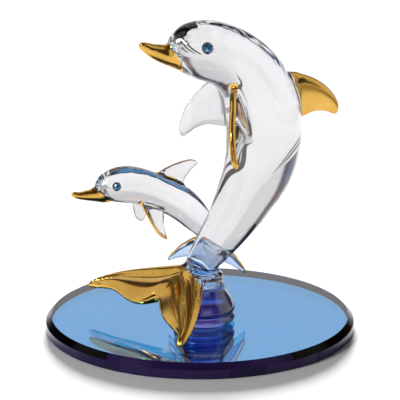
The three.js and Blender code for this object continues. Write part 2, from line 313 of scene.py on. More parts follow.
class Graph:
    """Short words for making nodes."""

    def __init__(self, tree: bpy.types.NodeTree) -> None:
        """Keeps the tree that the nodes go in."""
        self.tree = tree

    def add(self, kind: str, *inputs: object, **settings: object) -> bpy.types.Node:
        """One new node.

        Args:
            kind: the node's type.
            inputs: what its first sockets take, each a socket or a plain value.
            settings: its settings by name.

        Returns:
            The node.
        """
        node = self.tree.nodes.new(kind)
        for key, value in settings.items():
            setattr(node, key, value)
        for socket, value in zip([i for i in node.inputs if i.enabled], inputs):
            if isinstance(value, Socket):
                self.link(value, socket)
            else:
                socket.default_value = value
        return node

    def link(self, out: Socket, into: Socket) -> None:
        """Joins two sockets."""
        self.tree.links.new(out, into)

    def math(self, operation: str, *values: object) -> Socket:
        """The result of one operation on sockets or plain numbers."""
        return self.add("ShaderNodeMath", *values, operation=operation).outputs[0]

    def split(self, place: Socket) -> list[Socket]:
        """The three coordinates of a place."""
        return list(self.add("ShaderNodeSeparateXYZ", place).outputs)

    def span(self, value: Socket, *ends: float, ease: str = "SMOOTHSTEP") -> Socket:
        """Where a value lies between two ends, from 0 to 1 unless two more ends say otherwise."""
        return self.add("ShaderNodeMapRange", value, *ends, interpolation_type=ease).outputs[0]

    def mix(self, share: Socket, a: object, b: object) -> Socket:
        """A colour between two others."""
        node = self.add("ShaderNodeMix", share, a, b, data_type="RGBA")
        return next(o for o in node.outputs if o.enabled)

    def noise(self, place: Socket, scale: float, detail: float = 2.0) -> Socket:
        """A noise value by place, with this many features to the unit."""
        noise = self.add("ShaderNodeTexNoise", place)
        noise.inputs["Scale"].default_value = scale
        noise.inputs["Detail"].default_value = detail
        return noise.outputs["Fac"]

    def ramp(self, value: Socket, stops: Stops) -> Socket:
        """Colours by value.

        Args:
            value: the value that picks the colour.
            stops: positions and linear colours.

        Returns:
            The colour socket.
        """
        ramp = self.add("ShaderNodeValToRGB", value)
        items = ramp.color_ramp.elements
        while len(items) < len(stops):
            items.new(0.5)
        for item, (position, colour) in zip(items, stops):
            item.position = position
            item.color = (*colour, 1.0)
        return ramp.outputs["Color"]


class Nodes(Graph):
    """A new material's nodes, round one principled shader."""

    def __init__(self, name: str, **values: object) -> None:
        """Starts the material.

        Args:
            name: the material's name.
            values: plain values on the shader, by socket name with _ for a space.
        """
        self.material = bpy.data.materials.new(name)
        self.material.use_nodes = True
        super().__init__(self.material.node_tree)
        self.shader = self.tree.nodes["Principled BSDF"].inputs
        self.output = self.tree.nodes["Material Output"].inputs
        self.place = self.add("ShaderNodeTexCoord").outputs["Object"]
        for key, value in values.items():
            self.shader[key.replace("_", " ")].default_value = value

    def grain(self, scale: float, detail: float, stretch: Sequence[float] = (1, 1, 1)) -> Socket:
        """A noise value in the piece's own frame, with a scale along each axis."""
        mapping = self.add("ShaderNodeMapping", self.place)
        mapping.inputs["Scale"].default_value = stretch
        return self.noise(mapping.outputs["Vector"], scale, detail)

    def colour(self, value: Socket, stops: Stops) -> None:
        """Colours the shader by a value."""
        self.link(self.ramp(value, stops), self.shader["Base Color"])

    def bump(self, height: Socket, distance: float, strength: float = 1.0) -> None:
        """Lets a height roughen the shader's normal."""
        bump = self.add("ShaderNodeBump")
        bump.inputs["Distance"].default_value = distance
        bump.inputs["Strength"].default_value = strength
        self.link(height, bump.inputs["Height"])
        self.link(bump.outputs["Normal"], self.shader["Normal"])


@dataclass(frozen=True)
class ClearGlass:
    """Flame-worked clear glass with faint cords in it, taking up blue near the knob."""

    ior: float = 1.52
    cords: float = 55.0
    depth: float = 0.00012
    clear: Stops = ((0.3, (0.70, 0.695, 0.72)), (0.7, (0.765, 0.76, 0.78)))
    blue: tuple = (0.47, 0.62, 0.86)
    low: float = 0.019
    high: float = 0.032

    def make(self) -> Material:
        """The finished material."""
        n = Nodes("clear_glass", Transmission_Weight=1.0, Roughness=0.0, IOR=self.ior)
        clear = n.ramp(n.grain(self.cords, 1.0), self.clear)
        share = n.span(n.split(n.place)[2], self.low, self.high)
        n.link(n.mix(share, (*self.blue, 1.0), clear), n.shader["Base Color"])
        n.bump(n.grain(self.cords, 1.5, (1, 1, 0.45)), self.depth)
        return n.material


@dataclass(frozen=True)
class FiredGold:
    """Bright gold fired on the glass, slightly deeper where it is thicker."""

    pale: tuple = (0.72, 0.43, 0.10)
    deep: tuple = (0.58, 0.33, 0.06)

    def make(self) -> Material:
        """The finished material."""
        n = Nodes("fired_gold", Metallic=1.0, Roughness=0.13, Specular_IOR_Level=0.5)
        n.colour(n.grain(90.0, 3.0), [(0.35, self.deep), (0.65, self.pale)])
        n.bump(n.grain(160.0, 2.0), 0.00006, 0.6)
        return n.material


@dataclass(frozen=True)
class VioletGlass:
    """Glass with a deep violet band, paler below its groove and under the clear neck."""

    absorbed: tuple = (0.25, 0.14, 0.78)
    density: float = 55.0
    low: float = 0.00476
    high: float = 0.01656
    waver: float = 0.10
    stops: Stops = (
        (0.10, (0.66, 0.80, 1.0)), (0.27, (0.50, 0.52, 0.95)), (0.33, (0.010, 0.004, 0.095)),
        (0.70, (0.022, 0.010, 0.15)), (0.80, (0.58, 0.70, 0.98)), (1.0, (0.80, 0.92, 1.0)),
    )

    def make(self) -> Material:
        """The finished material."""
        n = Nodes(
            "violet_glass", Transmission_Weight=1.0, Roughness=0.22, IOR=1.5,
            Coat_Weight=1.0, Coat_Roughness=0.0,
        )
        share = n.span(n.split(n.place)[2], self.low, self.high, ease="LINEAR")
        n.colour(n.math("MULTIPLY_ADD", n.grain(120.0, 1.0), self.waver, share), self.stops)
        n.bump(n.grain(70.0, 1.0), 0.00003)
        volume = n.add("ShaderNodeVolumeAbsorption", (*self.absorbed, 1.0), self.density)
        n.link(volume.outputs["Volume"], n.output["Volume"])
        return n.material


@dataclass(frozen=True)
class Silvering:
    """Blue-tinted silver on the underside of the disc."""

    tint: tuple = (0.078, 0.385, 0.78)

    def make(self) -> Material:
        """The finished material."""
        n = Nodes("blue_silvering", Metallic=1.0, Roughness=0.0)
        pale = tuple(min(1.0, c * 1.05) for c in self.tint)
        n.colour(n.grain(25.0, 2.0), [(0.35, self.tint), (0.65, pale)])
        return n.material


@dataclass(frozen=True)
class PolishedFace:
    """The disc's polished top face."""

    stops: Stops = ((0.3, (0.985, 0.99, 1.0)), (0.7, (1.0, 1.0, 1.0)))

    def make(self) -> Material:
        """The finished material."""
        n = Nodes("polished_face", Transmission_Weight=1.0, Roughness=0.0, IOR=1.5)
        n.colour(n.grain(12.0, 1.0), self.stops)
        return n.material


class Rim(Enum):
    """The two ground faces round the disc."""

    BEVEL = "indigo_bevel"
    WALL = "indigo_wall"


@dataclass(frozen=True)
class RimWithPaintedReflections:
    """A ground and polished rim face, dark indigo with paler flats round it: indigo glass darkened
    by painted shade, with painted reflections laid round it by angle.
    """

    rim: Rim
    # The disc's side towards the camera, from which the painted reflections are laid out by angle.
    front: float = math.radians(-112.0)
    # The rim's tones: indigo is the glass's own colour darkened by painted shade; black, violet and
    # pale are painted reflections.
    black: tuple = (0.0012, 0.0010, 0.0022)
    indigo: tuple = (0.020, 0.010, 0.066)
    violet: tuple = (0.038, 0.020, 0.105)
    pale: tuple = (0.120, 0.078, 0.195)
    # How many painted reflection flats go round the wall.
    flats: float = 30.0

    def make(self) -> Material:
        """The finished material.

        Returns:
            The bevel's or the wall's, by the rim it is for.
        """
        n = Nodes(self.rim.value, Roughness=0.03, IOR=1.3 if self.rim is Rim.WALL else 1.14)
        x, y, _ = n.split(n.place)
        turned = n.math("SUBTRACT", n.math("ARCTAN2", y, x), self.front)
        # The wall: random flats round the disc, painted reflections in indigo, violet and pale.
        if self.rim is Rim.WALL:
            painted_reflection_cells = n.add("ShaderNodeTexVoronoi", voronoi_dimensions="1D")
            painted_reflection_cells.inputs["Scale"].default_value = 1.0
            n.link(n.math("MULTIPLY", turned, self.flats / math.tau), painted_reflection_cells.inputs["W"])
            n.colour(painted_reflection_cells.outputs["Color"], [
                (0.0, self.indigo), (0.3, self.violet), (0.5, self.indigo),
                (0.66, self.violet), (0.74, self.pale), (1.0, self.violet),
            ])
        else:
            # The bevel: painted reflections by angle from the camera's side, indigo and violet
            # towards the front and the back, black between, a thin pale painted glint at each side.
            wave = n.math("COSINE", n.math("MULTIPLY", turned, 2.0))
            n.colour(n.math("MULTIPLY_ADD", wave, 0.5, 0.5), [
                (0.0, self.pale), (0.012, self.black), (0.655, self.black),
                (0.66, self.indigo), (0.8, self.violet), (1.0, self.indigo),
            ])
        return n.material


class Facet(Enum):
    """The three tones that a cut stone shows, as painted light: shaded, half lit and lit copies of
    one blue crystal.
    """

    DEEP = "deep_facet"
    MIDDLE = "middle_facet"
    BRIGHT = "bright_facet"


@dataclass(frozen=True)
class FoiledCrystal:
    """Blue crystal with foil behind it, one tone to a facet, each tone a painted light or shade of
    the same crystal.
    """

    facet: Facet
    # The same blue crystal shaded, half lit and lit, painted onto the facets.
    tones: tuple = (
        (Facet.DEEP, (0.002, 0.012, 0.055)), (Facet.MIDDLE, (0.010, 0.085, 0.30)),
        (Facet.BRIGHT, (0.06, 0.42, 0.72)),
    )
    dim: float = 0.6

    def make(self) -> Material:
        """The finished material."""
        n = Nodes(
            self.facet.value, Metallic=0.7, Roughness=0.10,
            Coat_Weight=1.0, Coat_Roughness=0.02, Coat_IOR=1.6,
        )
        tone = dict(self.tones)[self.facet]
        low = tuple(c * self.dim for c in tone)
        n.colour(n.grain(900.0, 1.0), [(0.35, low), (0.62, tone)])
        return n.material


class Finishes:
    """Every material, made once."""

    def __init__(self) -> None:
        """Makes them all."""
        self.clear = ClearGlass().make()
        self.gold = FiredGold().make()
        self.violet = VioletGlass().make()
        self.silver = Silvering().make()
        self.face = PolishedFace().make()
        # The rim's bevel and wall: indigo glass with painted shade and painted reflections.
        self.edge = RimWithPaintedReflections(Rim.BEVEL).make()
        self.wall = RimWithPaintedReflections(Rim.WALL).make()
        # Shaded, half lit and lit copies of one crystal, painted facet by facet.
        self.crystal = [FoiledCrystal(facet).make() for facet in Facet]


@dataclass
class Fin:
    """A fin between a leading and a trailing edge, in millimetres above the mirror."""

    name: str
    lead: Rows
    trail: Rows
    root: float
    tip: float
    rings: int = 26
    sides: int = 20
    blunt: float = 0.55
    crowd: float = 1.15
    flare: float = 0.5
    flare_end: float = 0.3
    swell: float = 1.06
    overhang: float = 0.25

    def edges(self, t: float) -> tuple[Vector, Vector]:
        """The leading and the trailing point at t, in metres."""
        return place(*self.front(t)), place(*self.back(t))

    def __post_init__(self) -> None:
        """Lays the two edge lines."""
        self.front, self.back = Line(self.lead), Line(self.trail)

    def middle(self, t: float) -> Vector:
        """Half way between the edges at t."""
        a, b = self.edges(t)
        return (a + b) / 2

    def build(self) -> Piece:
        """The fin as a bridged and rounded skin.

        Returns:
            The fin, to be joined to its trunk.
        """
        rings = []
        for i in range(self.rings):
            t = math.sin(i / (self.rings - 0.5) * math.pi / 2) ** self.crowd
            a, b = self.edges(t)
            half = (a - b) / 2
            span = self.middle(min(1.0, t + STEP)) - self.middle(max(0.0, t - STEP))
            normal = half.cross(span).normalized()
            flare = 1 + self.flare * max(0.0, 1 - t / self.flare_end) ** 2
            full = (self.root + (self.tip - self.root) * t) * MM
            thick = min(full, 1.5 * half.length) * flare * self.swell
            wide = half * (1 + self.overhang * MM / max(half.length, MM))
            rings.append(((a + b) / 2, wide, normal * thick / 2))
        return Bench.skin(self.name, rings, self.sides, self.blunt)

    def band(
        self, co: np.ndarray, width: float, trailing: float = 0.0, start: float = 0.0,
        samples: int = 160,
    ) -> np.ndarray:
        """How far inside a band along the fin's edges points lie, below zero outside it.

        Args:
            co: the points, as rows.
            width: how far the band reaches from the leading edge, in metres.
            trailing: how far it reaches from the trailing edge, in metres.
            start: where along the trailing edge its band starts, from 0 to 1.
            samples: points along each edge.

        Returns:
            One distance for each point, in metres.
        """
        steps = [i / samples for i in range(samples + 1)]
        out = width - nearest(co, np.array([self.edges(t)[0] for t in steps]))
        if not trailing:
            return out
        trail = np.array([self.edges(t)[1] for t in steps if t >= start])
        return np.maximum(out, trailing - nearest(co, trail))


def hump(x: np.ndarray, middle: float, half: float) -> np.ndarray:
    """A smooth rise to 1 at the middle, 0 from half a width away on."""
    return np.cos(np.clip((x - middle) / half, -1, 1) * math.pi / 2) ** 2


def nearest(co: np.ndarray, points: np.ndarray) -> np.ndarray:
    """Distance of each row of co from the nearest of some points."""
    best = np.full(len(co), 1e9)
    for p in points:
        best = np.minimum(best, ((co - p) ** 2).sum(1))
    return np.sqrt(best)


@dataclass
class Trunk:
    """A round body through stations in one upright plane, in millimetres above the mirror."""

    name: str
    stations: Rows
    y: float
    rings: int = 44
    sides: int = 28

    def build(self) -> Piece:
        """The body as a bridged and rounded skin.

        Returns:
            The body, to be joined to its fins.
        """
        line = Line(self.stations)
        rings = []
        for i in range(self.rings):
            t = i / (self.rings - 1)
            x, h, tall, wide = line(t)
            a, b = line(max(0.0, t - STEP)), line(min(1.0, t + STEP))
            along = Vector((b[0] - a[0], 0, b[1] - a[1])).normalized()
            up = Vector((-along.z, 0, along.x))
            across = Vector((0, wide * MM / SHRUNK, 0))
            rings.append((place(x, self.y, h), up * tall * MM / SHRUNK, across))
        return Bench.skin(self.name, rings, self.sides)


@dataclass
class Flukes:
    """Two tail lobes given in the tail's own frame: along it, and from its middle to a tip."""

    stem: Sequence[float]
    tips: Rows
    lead: Rows
    trails: Sequence[Rows]
    y: float
    root: float
    tip: float
    name: str = "fluke"

    def lobes(self) -> list[Fin]:
        """The two lobes as fins."""
        stem = np.array(self.stem, float) + (0, self.y, 0)
        tips = [np.array(t, float) + (0, self.y, 0) for t in self.tips]
        centre = (tips[0] + tips[1]) / 2
        made = []
        for i, tip in enumerate(tips):
            rows = [
                [tuple(stem + (centre - stem) * u + (tip - centre) * v) for u, v in edge]
                for edge in (self.lead, self.trails[i % len(self.trails)])
            ]
            made.append(Fin(f"{self.name}_{i}", *rows, self.root, self.tip, 28, 20))
        return made

    def along(self, co: np.ndarray) -> np.ndarray:
        """How far points lie from the tail stem to the flukes' middle, as a share of that way."""
        stem, *tips = [
            np.array(place(x, self.y + out, h)) for x, out, h in (self.stem, *self.tips)
        ]
        back = (tips[0] + tips[1]) / 2 - stem
        return (co - stem) @ back / (back @ back)


@dataclass
class Stone:
    """A round faceted stone set into the head, in millimetres."""

    name: str
    d: float
    h: float
    at: tuple[float, float]
    stations: Rows
    y: float
    side: Side
    sunk: float = 0.4
    sides: int = 10
    profile: Rows = ((0.0, 1.0), (0.25, 1.0), (0.75, 0.72), (1.0, 0.4))
    arris: float = 0.06
    lean: float = 0.6
    # Shares of the radius: faces inside the table get the painted lit tone, faces from the crown
    # outwards the painted shaded tone.
    table: float = 0.15
    crown: float = 0.66

    def seat(self) -> tuple[Vector, Vector]:
        """Finds the stone's seat on its trunk.

        Returns:
            Where its flat back lies, in metres, and which way it faces.
        """
        line = Line(self.stations)
        rows = [line(i / 200) for i in range(201)]
        gaps = [math.hypot(r[0] - self.at[0], r[1] - self.at[1]) for r in rows]
        gap = min(gaps)
        x, h, tall, wide = rows[gaps.index(gap)]
        up = min(self.lean, gap / tall)
        out = math.sqrt(1 - up * up)
        away = Vector(((self.at[0] - x) / tall, 0, (self.at[1] - h) / tall))
        surface = place(x, self.y, h) + away * tall * MM
        surface.y += self.side.value * wide * out * MM
        normal = Vector((away.x, self.side.value * out * tall / wide, away.z)).normalized()
        sag = tall - math.sqrt(max(0.0, tall * tall - (self.d / 2) ** 2))
        return surface - normal * (sag + self.sunk) * MM, normal

    def tone(self, out: float, turn: float) -> int:
        """Which painted light tone a face shows, by how far out it lies and by its angle: the table
        lit, the outer rim shaded, the facets between taking turns.
        """
        if out < self.table:
            return 2
        if out >= self.crown:
            return 0
        return (1, 0, 2)[int((turn / math.pi + 1) * self.sides / 2) % 3]

    def build(self, finishes: Finishes) -> None:
        """The cut stone in its seat.

        Args:
            finishes: the materials.
        """
        base, normal = self.seat()
        x = normal.cross(Vector((0, 0, 1))).normalized()
        y = normal.cross(x)
        r = self.d / 2
        rings = [
            (base + normal * self.h * up * MM, x * r * share * MM, y * r * share * MM)
            for up, share in self.profile
        ]
        piece = Bench.tube(self.name, rings, self.sides)
        Bench.modify(piece, "BEVEL", width=self.arris * MM, segments=1, limit_method="ANGLE")
        Bench.paint(piece, *finishes.crystal)
        # Each face gets its painted light tone: lit, half lit or shaded.
        for face in piece.data.polygons:
            way = face.center - base
            out = way.cross(normal).length / (r * MM)
            face.material_index = self.tone(out, math.atan2(way.dot(y), way.dot(x)))
        Bench.finish(piece, self.name, "blue_crystal")


@dataclass
class Dolphin:
    """One dolphin: a trunk, a beak and fins melted into one clear piece, partly gilt."""

    name: str
    node: str
    trunk: Trunk
    beak: Trunk
    fins: list[Fin]
    carved: list[Fin]
    extra: list[Piece]
    voxel: float
    crown: Rows
    crown_reach: float
    crown_depth: float
    gilding: list[Callable[["Dolphin", np.ndarray], np.ndarray]]
    near: float = 2.5
    root_reach: float = 2.2
    lobe_reach: float = 0.9
    # Rise, middle and half width of a carved lobe's bar, groove and swell, from edge to edge.
    forms: Rows = ((0.7, 0.66, 0.34), (-0.8, 0.30, 0.16), (0.7, -0.30, 0.66))
    fade: tuple = (0.12, 0.10)
    face_from: float = 0.15
    # Middle and half width of the rippled strip beside the crown, as shares of its reach.
    rippled: tuple = (0.52, 0.48)
    waves: float = 1.7
    finer: float = 2.1

    def build(self) -> Piece:
        """The dolphin as one closed skin.

        Returns:
            The piece, still without its finishes.
        """
        trunk = self.trunk.build()
        fins = [fin.build() for fin in self.fins]
        self.skin = Bench.tree(trunk)
        self.fin_skins = [Bench.tree(fin) for fin in fins]
        piece = Bench.join([trunk, self.beak.build(), *fins, *self.extra])
        piece.name = piece.data.name = self.name
        Bench.modify(
            piece, "REMESH", mode="VOXEL", voxel_size=self.voxel * MM, adaptivity=0.0,
            use_smooth_shade=True,
        )
        self.melt(piece)
        for fin in self.carved:
            self.carve(piece, fin)
        self.ripple(piece)
        co = Bench.corners(piece)
        co[:, 2] = np.maximum(co[:, 2], (STAND.disc_t + STAND.seam) * MM)
        Bench.set_corners(piece, co)
        return piece

    def smooth(self, piece: Piece, times: int, group: str = "") -> None:
        """Smooths the skin, or one group of its corners."""
        Bench.modify(piece, "SMOOTH", factor=0.5, iterations=times, vertex_group=group)

    def melt(self, piece: Piece) -> None:
        """Smooths the skin, most where a fin meets the trunk.

        Args:
            piece: the dolphin's skin.
        """
        co = Bench.corners(piece)
        body = np.abs(Bench.gap(self.skin, co))
        fin = np.full(len(co), 1.0)
        near = np.where(body < self.near * MM)[0]
        for skin in self.fin_skins:
            fin[near] = np.minimum(fin[near], np.abs(Bench.gap(skin, co[near])))
        close = np.clip(1 - np.maximum(body, fin) / (self.root_reach * MM), 0, 1)
        group = piece.vertex_groups.new(name="roots")
        for i in np.where(close > 0.02)[0]:
            group.add([int(i)], float(min(1.0, close[i] * 2)), "REPLACE")
        self.smooth(piece, 7)
        self.smooth(piece, 34, "roots")
        self.smooth(piece, 5)

    def carve(self, piece: Piece, fin: Fin, samples: int = 90) -> None:
        """Presses a groove into a fin's front, between a bar at its leading edge and a swell.

        Args:
            piece: the dolphin's skin.
            fin: the fin to press.
            samples: places along the fin.
        """
        skin = self.fin_skins[self.fins.index(fin)]
        outside = np.abs(Bench.gap(skin, Bench.corners(piece)))
        near = np.where(outside < self.lobe_reach * MM)[0]
        group = piece.vertex_groups.new(name=fin.name)
        group.add([int(i) for i in near], 1.0, "REPLACE")
        self.smooth(piece, 12, fin.name)
        co = Bench.corners(piece)
        best = np.full(len(near), 1e9)
        chord, along, face = (np.zeros(len(near)) for _ in range(3))
        push = np.zeros((len(near), 3))
        for i in range(samples):
            t = i / (samples - 1)
            a, b = fin.edges(t)
            half, middle = np.array(a - b) / 2, np.array(a + b) / 2
            span = np.array(fin.middle(min(1.0, t + STEP)) - fin.middle(max(0.0, t - STEP)))
            normal = np.cross(half, span)
            normal /= np.linalg.norm(normal)
            normal *= np.sign(normal @ np.array(FRONT))
            c = (co[near] - middle) @ half / (half @ half)
            off = co[near] - middle - np.clip(c, -1, 1)[:, None] * half
            distance = (off**2).sum(1)
            closer = distance < best
            best[closer] = distance[closer]
            chord[closer], along[closer] = c[closer], t
            push[closer] = normal
            face[closer] = (off @ normal)[closer]
        depth = sum(rise * hump(chord, middle, half) for rise, middle, half in self.forms)
        fade = np.clip(along / self.fade[0], 0, 1) * np.clip((1 - along) / self.fade[1], 0, 1)
        fade = fade * (face > self.face_from * MM)
        co[near] += push * (depth * fade * MM)[:, None]
        Bench.set_corners(piece, co)
        self.smooth(piece, 4)

    def ripple(self, piece: Piece) -> None:
        """Presses shallow flame ripples beside the crown and the upper back, not on the ridge.

        Args:
            piece: the dolphin's skin.
        """
        line = Line(self.crown)
        ridge = np.array([place(x, self.trunk.y, h) for x, h in (line(i / 40) for i in range(41))])
        co = Bench.corners(piece)
        weight = hump(nearest(co, ridge) / (self.crown_reach * MM), *self.rippled)
        normals = Bench.read(piece.data.vertices, "normal", 3, np.float32)
        pitch = self.waves / (self.crown_reach * MM)
        for i in np.where(weight > 0)[0]:
            at = Vector(co[i]) * pitch
            wave = noise.noise(at) + 0.5 * noise.noise(at * self.finer)
            press = min(1.0, max(0.0, 0.5 - wave)) * weight[i]
            co[i] -= normals[i] * press * self.crown_depth * MM
        Bench.set_corners(piece, co)

    def gild(self, piece: Piece, finishes: Finishes) -> None:
        """Gives gold to the faces inside the masks, with clean borders.

        Args:
            piece: the dolphin's skin.
            finishes: the materials.
        """
        Bench.pick(piece)
        bpy.ops.object.mode_set(mode="EDIT")
        bpy.ops.mesh.select_all(action="SELECT")
        bpy.ops.mesh.quads_convert_to_tris(quad_method="SHORTEST_DIAGONAL")
        bpy.ops.object.mode_set(mode="OBJECT")
        Bench.paint(piece, finishes.clear, finishes.gold)
        co = Bench.corners(piece)
        value = np.max([mask(self, co) for mask in self.gilding], axis=0)
        ends = Bench.read(piece.data.edges, "vertices", 2, np.int32)
        a, b = value[ends[:, 0]], value[ends[:, 1]]
        cross = np.where((a > 0) != (b > 0))[0]
        best = {}
        for e in cross:
            i, j = ends[e]
            t = value[i] / (value[i] - value[j])
            who, other, share = (i, j, t) if t < 0.5 else (j, i, 1 - t)
            if who not in best or share < best[who][0]:
                best[who] = (share, other)
        moved = co.copy()
        for who, (share, other) in best.items():
            moved[who] = co[who] + (co[other] - co[who]) * share
            value[who] = 0.0
        Bench.set_corners(piece, moved)
        tris = Bench.read(piece.data.polygons, "vertices", 3, np.int32)
        inside = value[tris].mean(1) > 0
        piece.data.polygons.foreach_set("material_index", inside.astype(np.int32))
        piece.data.polygons.foreach_set("use_smooth", np.ones(len(inside), bool))
        piece.data.update()
        log.info("%s: %d gilt faces of %d", self.name, int(inside.sum()), len(inside))


def beyond(co: np.ndarray, low: Sequence[float], high: Sequence[float], reach: float) -> np.ndarray:
    """How far points lie on the beak's side of a line in the side view, if they are near it.

    Args:
        co: the points, as rows.
        low: the line's lower point, x and height above the mirror.
        high: its upper point.
        reach: how far from the line a point still counts, in metres.

    Returns:
        One distance for each point, in metres, below zero elsewhere.
    """
    p, q = np.array(place(low[0], 0, low[1])), np.array(place(high[0], 0, high[1]))
    along = (q - p) / np.linalg.norm(q - p)
    side = (co[:, 2] - p[2]) * along[0] - (co[:, 0] - p[0]) * along[2]
    far = np.abs((co - p) @ (along * (1, 0, 1))) > reach
    return np.where(far, -1.0, side)


MOTHER_BODY = [
    (-13.4, 91, 1.2, 1.2), (-12.7, 91.1, 3.8, 3.8), (-10.4, 91.2, 6.5, 6.4), (-6.2, 91, 8.8, 8.7),
    (-0.4, 90.1, 9.8, 9.7), (5, 88.2, 9.9, 9.8), (10.2, 85, 10.3, 10.2), (14.9, 79.9, 11, 10.9),
    (18, 73.3, 11.7, 11.7), (19.4, 66, 12.3, 12.3), (19.4, 58, 12.2, 12.2),
    (17.6, 49.4, 11.3, 11.3), (13.6, 41.5, 9.8, 9.8), (8.9, 33.9, 8.2, 8.2), (3.7, 27, 6.75, 6.75),
    (-1.4, 21.1, 5.4, 5.4), (-4.9, 17.3, 3.6, 5), (-8, 14.8, 2.2, 5.2), (-10.5, 13.2, 1, 3.4),
]
MOTHER_BEAK = [
    (-23.6, 93.8, 0.5, 0.5), (-22.9, 93.6, 1.35, 1.35), (-21.3, 92.8, 1.7, 1.7),
    (-18.6, 91.4, 2.5, 2.3), (-15.2, 90.2, 3.25, 2.9), (-11.6, 89.3, 4, 3.7),
    (-7.5, 88.6, 5.2, 5), (-4, 88, 3, 3),
]
CALF_BODY = [
    (-35, 44.5, 0.8, 0.8), (-34.4, 44.5, 2.6, 2.5), (-32.8, 44.9, 3.9, 3.9), (-30.6, 45.5, 5, 5),
    (-27.3, 46, 5.9, 5.8), (-23.1, 45.6, 6.1, 6), (-18.9, 44.4, 5.9, 5.9), (-13.8, 42.2, 5.7, 5.7),
    (-7.1, 38.6, 5.7, 5.7), (-3, 35.2, 5.4, 5.4), (-0.2, 32.1, 4.9, 4.9), (2.2, 29.2, 4.1, 4.1),
    (4.1, 25.7, 3.2, 3.2), (5.2, 22.8, 2.2, 2.6), (5.8, 20.6, 0.9, 1.4),
]
CALF_BEAK = [
    (-43.3, 44.4, 0.35, 0.35), (-42.7, 44.4, 0.95, 0.95), (-40.6, 43.7, 1.25, 1.25),
    (-37.9, 43.5, 1.75, 1.7), (-34.8, 43.6, 2.6, 2.4), (-31.5, 43.8, 3.4, 3.2), (-28.5, 44, 2, 2),
]
MOTHER_FLUKES = Flukes(
    (-4.5, 0, 17.3),
    [(-20.8, -25.9, 1.0), (-33, 25.6, 7.6)],
    [
        (-0.06, 0), (0.02, 0.18), (0.14, 0.35), (0.31, 0.55), (0.49, 0.73), (0.68, 0.88),
        (0.83, 0.97), (0.94, 1.01), (1, 1),
    ],
    [
        [
            (0.56, -0.04), (0.66, 0.13), (0.75, 0.29), (0.80, 0.45), (0.83, 0.61), (0.855, 0.76),
            (0.92, 0.88), (1, 0.97),
        ],
        [
            (0.58, -0.06), (0.78, 0.07), (0.84, 0.21), (0.85, 0.36), (0.84, 0.5), (0.84, 0.63),
            (0.88, 0.75), (0.95, 0.87), (1, 0.97),
        ],
    ],
    STAND.mother_y, 4.3, 1.7, "mother_fluke",
)
CALF_FLUKES = Flukes(
    (4, 0.3, 24.9),
    [(18.5, 1.6, 10.1), (-4.1, 15.9, 13.2)],
    [
        (-0.04, 0), (0.02, 0.16), (0.12, 0.34), (0.28, 0.52), (0.46, 0.69), (0.68, 0.84),
        (0.88, 0.97), (1, 1),
    ],
    [[
        (0.56, -0.05), (0.68, 0.2), (0.72, 0.42), (0.79, 0.63), (0.87, 0.79), (0.96, 0.92),
        (1.02, 0.98),
    ]],
    STAND.calf_y, 2.8, 1.2, "calf_fluke",
)
# Each dolphin's stones: diameter, height, place in the side view, the trunk that they sit in.
STONES = (
    ("mother", 4.0, 1.9, (-3.7, 92.9), MOTHER_BODY, STAND.mother_y),
    ("calf", 3.0, 1.5, (-29.5, 46.9), CALF_BODY, STAND.calf_y),
)


def upright(name: str, lead: Rows, trail: Rows, y: float, *sizes: float) -> Fin:
    """A dorsal fin through rows of x and height in the plane y."""
    return Fin(name, *([(x, y, h) for x, h in rows] for rows in (lead, trail)), *sizes)


def outward(name: str, side: Side, lead: Rows, trail: Rows, y: float, *sizes: float) -> Fin:
    """A flipper through rows of x, reach and height, set out from the plane y on one side."""
    edges = ([(x, y + side.value * out, h) for x, out, h in rows] for rows in (lead, trail))
    return Fin(f"{name}_{side.name.lower()}", *edges, *sizes)


